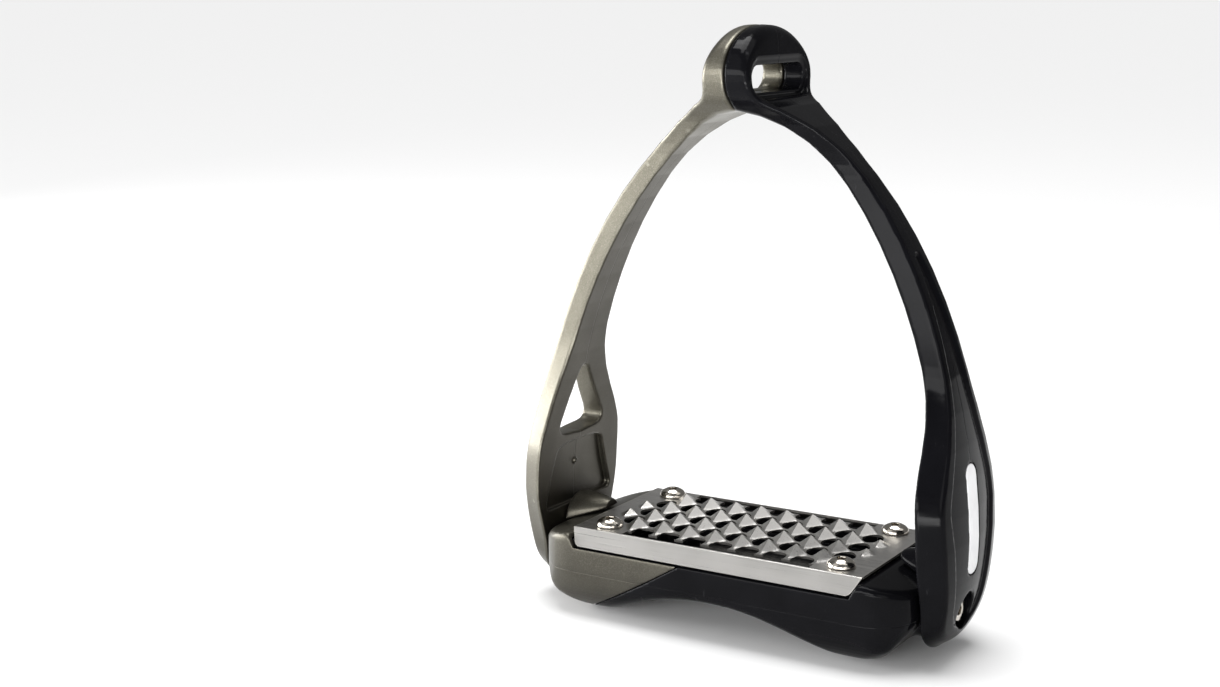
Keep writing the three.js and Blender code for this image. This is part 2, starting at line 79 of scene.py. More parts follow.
def mirror(half):
    """A closed outline from its right half."""
    left = half[::-1] * [-1, 1]
    pts = np.vstack([half, left])
    keep = np.r_[True, np.linalg.norm(np.diff(pts, axis=0), axis=1) > 1e-6]
    return pts[keep]


def signed_distance(P, poly):
    """Distance from points to a closed polygon, negative inside."""
    a = poly.astype(np.float32)
    b = np.roll(a, -1, axis=0)
    e = b - a
    ee = np.maximum((e * e).sum(1), 1e-12)
    slope = e[:, 0] / np.where(e[:, 1] == 0, 1, e[:, 1])
    out = np.empty(len(P), np.float32)
    for i in range(0, len(P), 8192):
        p = P[i:i + 8192].astype(np.float32)
        wx = p[:, :1] - a[:, 0]
        wy = p[:, 1:] - a[:, 1]
        t = np.clip((wx * e[:, 0] + wy * e[:, 1]) / ee, 0, 1)
        d2 = (wx - t * e[:, 0]) ** 2 + (wy - t * e[:, 1]) ** 2
        cross = ((a[:, 1] > p[:, 1:]) != (b[:, 1] > p[:, 1:])) & (wx < wy * slope)
        out[i:i + 8192] = np.where(cross.sum(1) % 2 == 1, -1, 1) * np.sqrt(d2.min(1))
    return out


class Field:
    """Signed distance to an outline, kept on a grid and read back smoothly."""
    def __init__(self, poly, h=0.6, pad=7):
        poly = np.asarray(poly, float)
        self.lo, self.h = poly.min(0) - pad, h
        n = np.ceil((poly.max(0) + pad - self.lo) / h).astype(int) + 3
        gx, gy = (self.lo[k] + h * np.arange(n[k]) for k in (0, 1))
        X, Y = np.meshgrid(gx, gy, indexing="ij")
        self.v = signed_distance(np.stack([X.ravel(), Y.ravel()], 1), poly).reshape(n[0], n[1])

    @staticmethod
    def _taps(f):
        """Catmull-Rom weights of four neighbours."""
        return (((-0.5 * f + 1.0) * f - 0.5) * f, (1.5 * f - 2.5) * f * f + 1.0,
                ((-1.5 * f + 2.0) * f + 0.5) * f, (0.5 * f - 0.5) * f * f)

    def __call__(self, a, b):
        u = (np.asarray(a, np.float32) - np.float32(self.lo[0])) / np.float32(self.h)
        v = (np.asarray(b, np.float32) - np.float32(self.lo[1])) / np.float32(self.h)
        i = np.clip(np.floor(u).astype(int), 1, self.v.shape[0] - 3)
        j = np.clip(np.floor(v).astype(int), 1, self.v.shape[1] - 3)
        wu = self._taps(np.clip(u - i, 0, 1))
        wv = self._taps(np.clip(v - j, 0, 1))
        out = 0
        for k in range(4):
            for m in range(4):
                out = out + wu[k] * wv[m] * self.v[i + k - 1, j + m - 1]
        return out


# ---------------------------------------------------------------- solid modelling with distances
def both(a, b, r=0.0):
    """Where a and b overlap, with the edge rounded to r."""
    if np.ndim(r) == 0 and r == 0:
        return np.maximum(a, b)
    u = np.maximum(a + r, 0)
    v = np.maximum(b + r, 0)
    return np.minimum(np.maximum(a, b), -r) + np.sqrt(u * u + v * v)


def less(a, b, r=0.0):
    """a with b taken away."""
    return both(a, -b, r)


def either(a, b, r=0.0):
    """a and b joined, with the corner between them filled to r."""
    return -both(-a, -b, r)


def ramp(x, a, b):
    """0 before a, 1 after b, smooth between."""
    t = np.clip((x - a) / (b - a), 0, 1)
    return t * t * (3 - 2 * t)


def step_down(d, width):
    """0 outside an outline, 1 inside it, over a sloped wall of that width."""
    q = np.clip(-d / width, 0, 1)
    return 0.6 * q + 0.4 * q * q * (3 - 2 * q)


def box2(a, b, ha, hb, r):
    """Distance to a rectangle of half sizes ha and hb with corners of radius r."""
    qa, qb = np.abs(a) - (ha - r), np.abs(b) - (hb - r)
    return np.minimum(np.maximum(qa, qb), 0) + np.sqrt(np.maximum(qa, 0) ** 2 + np.maximum(qb, 0) ** 2) - r


def surface_points(F):
    """One point, in grid steps, in each cell that the surface F = 0 passes through."""
    inside = F < 0
    corners = [(i, j, k) for i in (0, 1) for j in (0, 1) for k in (0, 1)]
    count = np.zeros(tuple(n - 1 for n in F.shape), np.int8)
    for i, j, k in corners:
        count += inside[i:F.shape[0] - 1 + i, j:F.shape[1] - 1 + j, k:F.shape[2] - 1 + k]
    crossed = (count > 0) & (count < len(corners))
    index = np.full(count.shape, -1, np.int64)
    index[crossed] = np.arange(crossed.sum())
    I, J, K = np.nonzero(crossed)
    total = np.zeros((len(I), 3))
    hits = np.zeros(len(I))
    for a in corners:
        for axis in range(3):
            if a[axis]:
                continue
            b = tuple(a[m] + (m == axis) for m in range(3))
            fa = F[I + a[0], J + a[1], K + a[2]]
            fb = F[I + b[0], J + b[1], K + b[2]]
            m = (fa < 0) != (fb < 0)
            t = fa[m] / (fa[m] - fb[m])
            p = np.tile(np.array(a, float), (m.sum(), 1))
            p[:, axis] += t
            total[m] += p
            hits[m] += 1
    return np.stack([I, J, K], 1) + total / hits[:, None], index


def surface_quads(inside, index):
    """A quad round each grid edge that leaves or enters the solid."""
    quads = []
    for axis in range(3):
        o1, o2 = [(1, 2), (2, 0), (0, 1)][axis]
        here = [slice(1, -1)] * 3
        here[axis] = slice(0, -1)
        ahead = list(here)
        ahead[axis] = slice(1, None)
        A, B = inside[tuple(here)], inside[tuple(ahead)]
        for cond, flip in ((A & ~B, False), (~A & B, True)):
            edge = np.argwhere(cond) + np.array([0 if m == axis else 1 for m in range(3)])
            q = []
            for d1, d2 in ((1, 1), (0, 1), (0, 0), (1, 0)):
                g = edge.copy()
                g[:, o1] -= d1
                g[:, o2] -= d2
                q.append(index[g[:, 0], g[:, 1], g[:, 2]])
            q = np.stack(q, 1)
            quads.append(q[:, ::-1] if flip else q)
    return np.vstack(quads)


def shorten(v, most):
    """Vectors cut to a length of at most most."""
    n = np.linalg.norm(v, axis=1, keepdims=True)
    return v * np.minimum(1, most / np.maximum(n, 1e-9))


def pulled_onto(f, start, h, passes, e=0.06):
    """The points moved along the gradient onto f = 0, each staying near its own grid cell."""
    P = start
    for _ in range(passes):
        x, y, z = P.T
        v = f(x, y, z)
        g = np.stack([f(x + e, y, z) - f(x - e, y, z), f(x, y + e, z) - f(x, y - e, z),
                      f(x, y, z + e) - f(x, y, z - e)], 1) / (2 * e)
        step = (v / np.maximum((g * g).sum(1), 0.2))[:, None] * g
        P = P - shorten(step, 0.5 * h)
        P = start + shorten(P - start, 1.1 * h)
    return P


def skin(name, f, lo, hi, h=FINE, passes=4):
    """A quad mesh of the surface f = 0, in mm, with its vertices moved onto it."""
    ax = [np.arange(lo[k], hi[k] + h, h, dtype=np.float32) for k in range(3)]
    F = f(ax[0][:, None, None], ax[1][None, :, None], ax[2][None, None, :])
    F = np.broadcast_to(F, tuple(len(a) for a in ax)).astype(np.float32)
    F = np.where(np.abs(F) < 1e-6, 1e-6, F)
    steps, index = surface_points(F)
    P = np.array(lo, float) + h * steps
    return make(name, pulled_onto(f, P, h, passes), surface_quads(F < 0, index))


def make(name, P, Q):
    """A smooth-shaded object from points in mm and faces."""
    me = bpy.data.meshes.new(name)
    P = np.asarray(P, float) * MM
    if isinstance(Q, np.ndarray):
        k = Q.shape[1]
        me.vertices.add(len(P))
        me.vertices.foreach_set("co", P.astype(np.float32).ravel())
        me.loops.add(Q.size)
        me.loops.foreach_set("vertex_index", Q.astype(np.int32).ravel())
        me.polygons.add(len(Q))
        me.polygons.foreach_set("loop_start", np.arange(0, Q.size, k, dtype=np.int32))
        me.update(calc_edges=True)
    else:
        me.from_pydata([tuple(p) for p in P], [], Q)
    me.validate()
    me.polygons.foreach_set("use_smooth", [True] * len(me.polygons))
    o = bpy.data.objects.new(name, me)
    bpy.context.scene.collection.objects.link(o)
    return o


def flip_x(o):
    """The mirror image across the YZ plane."""
    n = len(o.data.vertices)
    co = np.empty(n * 3, np.float32)
    o.data.vertices.foreach_get("co", co)
    co = co.reshape(-1, 3)
    co[:, 0] *= -1
    o.data.vertices.foreach_set("co", co.ravel())
    o.data.flip_normals()
    o.data.update()
    return o


# ---------------------------------------------------------------- arms (u = outward, y, z)
inner_arch = Field(path((-9, -12), (60, -12), (60, 30), ((60, 42), (58.6, 50), (58.3, 60)),
                        ((57.6, 88), (30.5, 145.6), (0.15, 148.4)), (-9, 148.4)))
outer_arch = Field(path((-9, 182), (4.9, 182), (7.3, 156.8), ((7.4, 152.6), (9.3, 151.3), (13, 149.6)),
                        ((53.2, 127.2), (67.8, 71), (69.2, 34)), ((69.2, 19), (67.6, 8.5), (61.6, 1.6)),
                        (60, 0.8), (60, -8), (-9, -8)))
side_inner = Field(mirror(path((0, 2.0), ((9.9, 2.0), (17.9, 7.0), (17.9, 13.4)),
                               ((17.9, 19.5), (22.8, 27), (22.9, 35)),
                               ((23.0, 40), (23.0, 43), (22.6, 46.5)), ((21.6, 54.5), (9.4, 69), (8.8, 82)),
                               (5.2, 131), ((5.0, 150), (20.6, 147), (20.6, 158.5)),
                               ((20.6, 165.7), (11.4, 171.6), (0, 171.6)))))
side_outer = Field(mirror(path((0, 5.2), ((7.6, 5.2), (14.2, 9), (15.2, 15.5)),
                               ((15.8, 20), (18.2, 30), (18.4, 42)),
                               ((18.6, 52), (9.0, 66), (8.0, 82)), (4.4, 131),
                               ((4.2, 150.2), (20.3, 147.2), (20.3, 158.5)),
                               ((20.3, 165.5), (11.2, 171.3), (0, 171.3)))))
recess = Field(mirror(path((0, 8.4), ((6, 8.4), (10.2, 11), (11.4, 17)), (15.6, 42.5),
                           ((16.4, 49), (7.4, 62), (5.7, 79)), (2.2, 109),
                           ((2.2, 110.5), (1.2, 111.6), (0, 111.6)))), pad=6)
window = Field(mirror(path((0, 48.3), (7.6, 48.9), ((11.4, 49.2), (12.4, 50.8), (10.9, 53.6)), (2.7, 67.0),
                           ((1.8, 68.7), (0.9, 69.2), (0, 69.2)))), h=0.4, pad=6)
inner_panel = Field(mirror(path((0, 26.4), (15.4, 26.4), ((17.2, 26.4), (18.1, 27.4), (17.7, 29)),
                                (13.2, 42.2),
                                ((12.6, 44.2), (11.4, 45), (9.6, 45.2)),
                                ((6, 45.7), (3, 45.9), (0, 45.9)))), h=0.5, pad=6)
cover_line = Field(mirror(path((0, 29), (12.6, 29), ((13.6, 29), (14.0, 29.4), (14.1, 30.4)), (15.5, 46),
                               ((15.6, 56), (6.6, 63), (0, 63)))), h=0.5, pad=6)


def from_foot_axis(y, z):
    """Distance from the line through both foot screws."""
    return np.sqrt(y * y + (z - FOOT_Z) ** 2)


def with_foot(f, u, y, z):
    """Adds the foot's round boss and takes away the pocket of the screw's head and its hole."""
    r = from_foot_axis(y, z)
    boss = np.maximum(np.maximum(r - (5.3 + FOOT_TAPER * (u - 55)), 55 - u), u - 61.5)
    f = either(f, boss)
    head_pocket = np.maximum(r - 5.3, 59.2 - u)
    return np.maximum(less(f, head_pocket, 0.55), FOOT_BORE - r)


def arm_blank(u, y, z):
    """The moulded arm without its badge, window or cover: foot, knee, neck and eye half."""
    inner = both(-inner_arch(u, z), 0.15 - u, 0.4)
    outer = outer_arch(u, z)
    across = np.clip(inner / np.minimum(inner + outer, -0.5), -0.15, 1.15)
    side = side_inner(y, z) * (1 - across) + side_outer(y, z) * across
    outer = outer + CROWN * y * y * (1 - ramp(z, 118, 140))
    outer = outer + step_down(recess(y, z), 1.5)
    eye_edge = 0.9 + 0.7 * ramp(z, 140, 154) + 1.5 * ramp(z, 158, 168)
    f = both(np.maximum(inner, -40), side, 0.9)
    f = np.maximum(f, both(outer, side, eye_edge))
    f = np.maximum(f, both(inner, outer, 0.8))
    f = less(f, box2(y, z - EYE_Z, *SLOT, 3.5), 0.9)
    dish = box2(y, z - EYE_Z, 17.2, 5.4, 5.2)
    f = less(f, np.maximum(dish, 6.4 - u), 0.45)
    return with_foot(f, u, y, z)


def fixed_arm(u, y, z):
    """Mirrored later: with the window, the sunk inner panel and the badge's pocket."""
    f = arm_blank(u, y, z)
    f = less(f, window(y, z), 0.7)
    wall = 60.2 - 1.9 * ramp(z, 34, 58)
    panel = np.maximum(inner_panel(y, z), u - wall - 1.6)
    f = less(f, panel, 0.35)
    knob = np.sqrt((u - 61.6) ** 2 + y * y + (z - 38.5) ** 2) - 0.9
    f = either(f, knob, 0.3)
    badge_pocket = np.maximum(box2(y, z - BADGE_Z, 11.2, 6.0, 2.6), 66.3 - u)
    return less(f, badge_pocket, 0.3)


def release_arm(u, y, z):
    """With the label's and the cover's pockets, a sunk ring and the catch stud's seat."""
    f = arm_blank(u, y, z)
    below_face = outer_arch(u, z) * -1 - 1.7 - CROWN * y * y
    f = less(f, np.maximum(box2(y, z - LABEL_Z, 3.6, 15.5, 3.3), below_face), 0.25)
    cover_pocket = np.maximum(cover_line(y, z), u - 61.5)
    f = less(f, cover_pocket, 0.3)
    ring = np.abs(np.sqrt(y * y + (z - 70.6) ** 2) - 3.0) - 0.4
    f = np.maximum(f, -np.maximum(ring, inner_arch(u, z) - 0.35))
    stud_seat = np.maximum(from_foot_axis(y, z) - 3.7, u - 58)
    return less(f, stud_seat)


# ---------------------------------------------------------------- base
base_front = Field(mirror(path((0, 10.8), ((15, 10.8), (24, 6.2), (34, 0.6)),
                               ((36.5, -0.6), (39, -0.8), (43.5, -0.6)),
                               ((52, -0.1), (56.5, 11.2), (BASE_X, 13.5)), (BASE_X, 21.6), (47.6, BASE_TOP))))
base_side = Field(mirror(path((0, -0.85), (13, -0.85), ((22, -0.4), (28.4, 6.5), (29.1, 15)),
                              (BASE_Y, 22.2), ((BASE_Y, 24.2), (28.6, BASE_TOP), (26.6, BASE_TOP)),
                              (0, BASE_TOP))))


def base_block(x, y, z, inset=0.0):
    """The whole base with its two round foot housings, or a core that much smaller."""
    f = both(base_front(x, z), base_side(y, z), 3.0)
    f = both(f, box2(x, y, BASE_X, BASE_Y, 17), 2.2)
    r = from_foot_axis(y, z)
    housing = np.maximum(np.maximum(r - 9.2, np.abs(x) - BASE_X), z - 21.4)
    f = either(f, np.maximum(housing, 40 - np.abs(x)), 1.2)
    return f + inset


def plate_end(z):
    """Half length of the step at a height; the flange ends slant inward on the way down."""
    return PLATE_X + 0.25 - END_SLANT * np.clip((25.6 - z) / 4.6, 0, 1)


def seat(x, y, z):
    """The step that the grip plate and its two flanges lie in."""
    ya = np.abs(y)
    fold, foot, low = 23.3, 26.5, 19.5
    slope = STEP_Z - (ya - fold) / (foot - fold) * (STEP_Z - low)
    floor = np.where(ya < fold, STEP_Z, np.where(ya < foot, slope, low))
    return np.maximum(np.abs(x) - plate_end(z), np.maximum(ya - 28.25, floor - z))


def lip(x, y, z):
    """Opens the step to the front and back, just under the flange's edge."""
    inner, bottom = 25.5, 20.9
    return np.maximum(np.maximum(np.abs(x) - plate_end(z), inner - np.abs(y)), bottom - z)


def pocket(x, y, z):
    """The hollow under the grip, with a round pad left at each screw."""
    pad = np.sqrt((np.abs(x) - SCREW_X) ** 2 + (np.abs(y) - SCREW_Y) ** 2)
    return np.maximum(np.maximum(box2(x, y, 38.8, 23.0, 3), 17.5 - z), 5.2 - pad)


def seam(x, z):
    """Positive on the fixed arm's side of the slanting colour split."""
    bow = 0.9 * np.clip(1 - ((z - 12) / 11) ** 2, 0, 1)
    t = (z - 1.0) / 21.0
    line = -42.6 + 35.6 * np.clip(t, -0.5, 1.02) + bow
    low = (line - x) * 0.51
    high = -0.1 - plate_end(z) - x
    return np.where(z < 21.6, low, np.minimum(low, high))


def bores(f, x, y, z):
    """Takes away the holes of the tread screws, the arms' feet, the foot insert and the catch."""
    for sx in (-1, 1):
        for sy in (-1, 1):
            r = np.sqrt((x - sx * SCREW_X) ** 2 + (y - sy * SCREW_Y) ** 2)
            f = np.maximum(f, -np.maximum(r - INSERT_BORE, 15.3 - z))
            f = np.maximum(f, -np.maximum(r - 2.3, 11.5 - z))
    r = from_foot_axis(y, z)
    ax = np.abs(x)
    f = np.maximum(f, -np.maximum(r - (5.6 + FOOT_TAPER * (ax - 55)), 54.7 - ax))
    f = np.maximum(f, -np.maximum(r - INSERT_BORE, 45.7 + x))
    catch = np.maximum(r - 5.4, 47.5 - x)
    clip_groove = np.maximum(r - 6.3, np.abs(x - CLIP_X) - 0.8)
    return np.maximum(np.maximum(f, -catch), -clip_groove)


def stepped_block(x, y, z):
    """The base with the step for the grip plate."""
    return less(less(base_block(x, y, z), seat(x, y, z), 0.15), lip(x, y, z), 0.8)


def end_cap(x, y, z):
    """The shell on the fixed arm's side of the seam."""
    f = np.maximum(stepped_block(x, y, z), 0.12 - seam(x, z))
    f = np.maximum(f, -base_block(x, y, z, 2.3))
    return bores(f, x, y, z)


def base_body(x, y, z):
    """The rest of the base, and the core that the end cap fits over."""
    own = np.maximum(stepped_block(x, y, z), seam(x, z) + 0.12)
    core = np.maximum(np.maximum(base_block(x, y, z, 2.6), -1.0 - seam(x, z)), -seat(x, y, z))
    return bores(less(np.minimum(own, core), pocket(x, y, z), 0.3), x, y, z)


def dome(u, y, z):
    """A bell over the foot screw's housing, falling away toward the grip plate."""
    foot = 25.85 - 0.338 * (u - 48)
    along = np.clip((u - 46.5) / 13, 0, 1)
    wide = 8.1 * along ** 0.45 + 0.2
    over = 1 - np.clip(np.abs(y) / wide, 0, 1.2) ** 2
    ridge = foot + (1.0 + 6.6 * along ** 0.75) * np.sqrt(np.maximum(over, 0)) - 0.3
    f = both((z - ridge) * 0.5, np.abs(y) - wide, 0.4)
    f = np.maximum(f, (foot - z) * 0.95)
    return np.maximum(both(f, u - 59.55, 0.35), 48.0 - u)


# ---------------------------------------------------------------- grip plate
HALF_X, HALF_Y = COLS * PX / 2, ROWS * PY / 2       # half sizes of the toothed area
LAST_COL, LAST_ROW = COLS // 2, ROWS // 2
CELL_STEPS = 12                                     # mesh steps along a side of a hole's cell


def spike(dx, dy, rx, ry, height):
    """A pyramid on a diamond of half sizes rx and ry, with its edge eased."""
    v = 1 - dx / rx - dy / ry
    return height * 0.5 * (v + np.sqrt(v * v + 0.0009))


def grip_height(x, y):
    """Height of the pressed sheet above its flat margin."""
    i = np.clip(np.round(x / PX - 0.5), -LAST_COL, LAST_COL - 1)
    j = np.clip(np.round(y / PY - 0.5), -LAST_ROW, LAST_ROW - 1)
    dx, dy = np.abs(x - (i + 0.5) * PX), np.abs(y - (j + 0.5) * PY)
    ex, ey = np.abs(np.abs(x) - HALF_X), np.abs(np.abs(y) - 0.5 * PY)
    return np.maximum(spike(dx, dy, 3.6, 5.3, TOOTH), spike(ex, ey, 2.6, 3.8, 1.7))


def oval(c, s, rx, ry, power):
    """Radius of a superellipse in the direction with cosine c and sine s."""
    return (np.abs(c / rx) ** power + np.abs(s / ry) ** power) ** (-1 / power)


def hole_radius(theta, row):
    """Radius of a hole's rim by angle; the outer rows' holes are arches that open at the flange."""
    c, s = np.cos(theta), np.sin(theta)
    if abs(row) < LAST_ROW:
        return oval(c, s, 3.1, 4.3, 1.6)
    return np.where(s * np.sign(row) > 0, oval(c, s, 3.3, 4.3, 3.0), oval(c, s, 3.3, 3.6, 2))


class Sheet:
    """Points and quads gathered patch by patch."""
    def __init__(self):
        self.points, self.quads = [], []

    def patch(self, X, Y, Z, skip=None):
        """A grid of points joined into quads, except between columns marked in skip."""
        base = len(self.points)
        n, m = X.shape
        self.points.extend(np.stack([X, Y, Z], -1).reshape(-1, 3))
        for a in range(n - 1):
            for b in range(m - 1):
                if skip is None or not (skip[b] and skip[b + 1]):
                    k = base + a * m + b
                    self.quads.append((k, k + m, k + m + 1, k + 1))

    def pressed(self, X, Y, skip=None):
        self.patch(X, Y, TREAD + grip_height(X, Y), skip)


def cell_outline():
    """Once round a hole's rectangular cell."""
    lin = np.linspace(-1, 1, CELL_STEPS + 1)[:-1]
    rect = [(1, t) for t in lin] + [(-t, 1) for t in lin] + [(-1, -t) for t in lin] + [(t, -1) for t in lin]
    return np.array(rect + rect[:1]) * [PX / 2, PY / 2]


def holed_cell(sheet, i, j):
    """The sheet between a hole's rim and the edge of its cell."""
    cell, skip = cell_outline(), None
    if abs(j) == LAST_ROW:              # these open into a slit along the flange
        cell[cell[:, 1] * j > 0, 1] *= 1.6 / (PY / 2)
    theta = np.arctan2(cell[:, 1], cell[:, 0])
    rim = hole_radius(theta, j)
    inner = np.stack([np.cos(theta) * rim, np.sin(theta) * rim], 1)
    if abs(j) == LAST_ROW:
        skip = rim >= np.linalg.norm(cell, axis=1) - 1e-6
        inner[skip] = cell[skip]
    k = np.linspace(0, 1, 9)[:, None, None]
    P = inner * (1 - k) + cell * k
    sheet.pressed(P[..., 0] + i * PX, P[..., 1] + j * PY, skip)


def toothed_area(sheet):
    """A cell round each hole, and a plain one in each corner."""
    lin = np.linspace(-1, 1, CELL_STEPS + 1)
    for i in range(-LAST_COL, LAST_COL + 1):
        for j in range(-LAST_ROW, LAST_ROW + 1):
            if abs(i) == LAST_COL and abs(j) == LAST_ROW:
                sheet.pressed(*np.meshgrid(i * PX + lin * PX / 2, j * PY + lin * PY / 2, indexing="ij"))
            else:
                holed_cell(sheet, i, j)


def cell_steps(last, pitch):
    """The places of all the cells' mesh steps in one direction."""
    lin = np.linspace(-1, 1, CELL_STEPS + 1)
    places = np.concatenate([i * pitch + lin * pitch / 2 for i in range(-last, last + 1)])
    return np.unique(np.round(places, 5))


def end_margins(sheet):
    end = np.linspace(HALF_X, PLATE_X, 10)
    for s in (1, -1):
        sheet.pressed(*np.meshgrid(s * end, cell_steps(LAST_ROW, PY), indexing="ij"))


def flanges(sheet):
    """The long edges, folded down; their ends slant inward and finish in a round corner."""
    fold = [(HALF_Y, 0), (24.22, 0), (24.5, -0.06), (24.74, -0.26), (24.92, -0.52), (25.5, -1.36),
            (26.5, -2.8), (26.9, -3.38), (27.3, -3.96), (27.55, -4.33), (27.75, -4.62), (27.86, -4.78)]
    end = np.linspace(HALF_X, PLATE_X, 10)
    along = np.concatenate([-end[::-1][:-1], cell_steps(LAST_COL, PX), end[1:]])
    for s in (1, -1):
        rows = []
        for y, dz in fold:
            t = max(0.0, (-dz - 0.1) / 4.8)
            corner = 1.1 * max(0.0, (t - 0.72) / 0.28) ** 2.5
            half = PLATE_X - END_SLANT * t - corner
            level = np.full(len(along), TREAD + dz)
            rows.append(np.stack([along * (half / PLATE_X), np.full(len(along), s * y), level], 1))
        G = np.array(rows)
        sheet.patch(G[..., 0], G[..., 1], G[..., 2])


def face_outward(o, weld, upward=False):
    """Joins points that meet and turns all faces outward, or the highest one up."""
    bm = bmesh.new()
    bm.from_mesh(o.data)
    bmesh.ops.remove_doubles(bm, verts=bm.verts, dist=weld)
    bmesh.ops.recalc_face_normals(bm, faces=bm.faces)
    if upward and max(bm.faces, key=lambda f: f.calc_center_median().z).normal.z < 0:
        bmesh.ops.reverse_faces(bm, faces=bm.faces)
    bm.to_mesh(o.data)
    bm.free()


def grip_plate():
    sheet = Sheet()
    toothed_area(sheet)
    end_margins(sheet)
    flanges(sheet)
    o = make("grip_plate", np.array(sheet.points), sheet.quads)
    face_outward(o, 2e-6, upward=True)
    m = o.modifiers.new("thickness", "SOLIDIFY")
    m.thickness, m.offset = SHEET * MM, -1
    return settle(o, 32)


def settle(o, angle):
    """Applies the modifiers and marks edges sharper than angle."""
    dg = bpy.context.evaluated_depsgraph_get()
    me = bpy.data.meshes.new_from_object(o.evaluated_get(dg))
    o.modifiers.clear()
    o.data = me
    me.polygons.foreach_set("use_smooth", [True] * len(me.polygons))
    me.set_sharp_from_angle(angle=math.radians(angle))
    return o


# ---------------------------------------------------------------- turned pieces
def hexagon(flats):
    """Radius by angle of a hexagon that measures flats across its flats."""
    return lambda th: flats / 2 / np.cos((th + math.pi / 6) % (math.pi / 3) - math.pi / 6)


def turned(name, rings, n=72, angle=38, close=False):
    """Rings of (radius or radius by angle, height) about +Z."""
    th = np.linspace(0, 2 * np.pi, n, endpoint=False)
    V, Q = [], []
    for r, h in rings:
        rr = r(th) if callable(r) else np.full(n, float(r))
        V.append(np.stack([rr * np.cos(th), rr * np.sin(th), np.full(n, float(h))], 1))
    V = np.vstack(V)
    k = len(rings)
    for a in range(k if close else k - 1):
        b = (a + 1) % k
        for i in range(n):
            j = (i + 1) % n
            Q.append((a * n + i, a * n + j, b * n + j, b * n + i))
    o = make(name, V, Q)
    face_outward(o, 1e-6)
    o.data.polygons.foreach_set("use_smooth", [True] * len(o.data.polygons))
    o.data.set_sharp_from_angle(angle=math.radians(angle))
    return o


def arc(cx, cz, r, a0, a1, n=6):
    """Points on an arc from a0 to a1 degrees."""
    angles = np.radians(np.linspace(a0, a1, n))
    return [(cx + r * math.cos(a), cz + r * math.sin(a)) for a in angles]


def thread(r, z0, z1, pitch=0.7, depth=0.32):
    """Ridges that stand for the thread."""
    out, z = [], z0
    while z < z1 - pitch:
        out += [(r - depth, z), (r, z + 0.3 * pitch), (r, z + 0.5 * pitch), (r - depth, z + 0.9 * pitch)]
        z += pitch
    return out


def socket(flats, mouth, rim, bottom, flare, shrink):
    """A hexagon hole from its flared mouth down to its shallow cone."""
    hx = hexagon(flats)
    return [(lambda th: hx(th) + flare, mouth), (lambda th: hx(th) + flare / 5, mouth - 0.1), (hx, rim),
            (hx, bottom), (lambda th: hx(th) * shrink, bottom - 0.05)]


def button_screw(name, shank=2.0, head=4.0, length=14):
    """Upright, with the underside of its head at 0."""
    rise = [(head * math.cos(t), 0.35 + 2.35 * math.sin(t)) for t in np.linspace(0, 1.02, 12)]
    rings = [(0, -length), (1.5, -length)] + thread(shank, 0.3 - length, -1.5)
    rings += [(shank, -1.2), (shank, 0), (3.75, 0), (3.95, 0.08), (head, 0.2)] + rise
    rings += [(1.92, 2.42), (1.75, 2.44)] + socket(2.5, 2.42, 2.2, 1.0, 0.12, 0.9)
    return turned(name, rings + [(0.05, 0.55), (0, 0.55)])


def cap_screw(name, tip, shank=2.0, head=3.5):
    """Along +Z here, with its head from floor to top and its tip at tip."""
    floor, top, round_r = 60.6, 64.6, 0.45
    rings = [(0, tip), (1.5, tip)] + thread(shank, tip + 0.3, floor - 1)
    rings += [(shank, floor - 0.6), (shank, floor), (head - 0.2, floor), (head, floor + 0.2)]
    rings += [(head, top - 0.5)] + arc(head - round_r, top - round_r, round_r, 0, 90) + [(2.2, top)]
    rings += socket(3.0, top, top - 0.25, top - 2.3, 0.18, 0.86)
    return turned(name, rings + [(0.05, top - 2.9), (0, top - 2.9)])


def chamfered(r0, r1, z0, z1, e=0.12):
    """The section of a flat ring."""
    return [(r0 + e, z0), (r1 - e, z0), (r1, z0 + e), (r1, z1 - e),
            (r1 - e, z1), (r0 + e, z1), (r0, z1 - e), (r0, z0 + e)]


def lay_along_x(o, side):
    """Turns a piece built about +Z so that it lies along +X or -X at the foot screw's height."""
    o.data.transform(Matrix.Translation((0, 0, FOOT_Z * MM)) @ Matrix.Rotation(side * math.pi / 2, 4, "Y"))
    return o


# ---------------------------------------------------------------- small moulded pieces
def badge_shape(u, y, z):
    """A domed plate in the fixed arm's outer face."""
    f = box2(y, z - BADGE_Z, 10.95, 5.75, 2.4)
    q = box2(y, z - BADGE_Z, 10.0, 4.8, 2.0)
    top = u - (68.15 - 0.45 * np.clip(q + 4.5, 0, 6) / 4.5)
    return np.maximum(both(top, f, 0.5), 66.45 - u)


def label_shape(u, y, z):
    """A thin plate that follows the release arm's outer face."""
    f = box2(y, z - LABEL_Z, 3.45, 15.3, 3.15)
    b = outer_arch(u, z) + CROWN * y * y + 0.98
    return np.maximum(both(b, f, 0.18), -b - 0.62)


def cover_shape(u, y, z):
    """The cover in the release arm's inner face, with a low rib down its middle."""
    f = cover_line(y, z) + 0.28
    rib = 0.45 * (1 - ramp(np.abs(y), 0.9, 1.9)) * ramp(z, 30, 33) * (1 - ramp(z, 54, 58))
    a = -inner_arch(u, z) + 0.15 - rib
    return np.maximum(both(a, f, 0.35), u - 61.2)


def stud_shape():
    """The catch's pin: rounded nose, groove for the clip, collar and hollow tail."""
    nose = [(0, 49.0), (0.8, 49.02), (1.5, 49.2), (2.3, 49.7), (2.68, 50.15), (2.7, 50.7)]
    groove = [(2.5, 51.0), (1.75, 51.4), (1.7, 51.6), (1.7, 52.9), (1.8, 53.1)]
    collar = [(3.2, 53.55), (3.4, 53.7), (3.4, 57.5), (3.25, 57.7)]
    tail = [(2.3, 57.7), (2.3, 53.9), (0, 53.9)]
    return turned("catch_stud_turned", nose + groove + collar + tail)


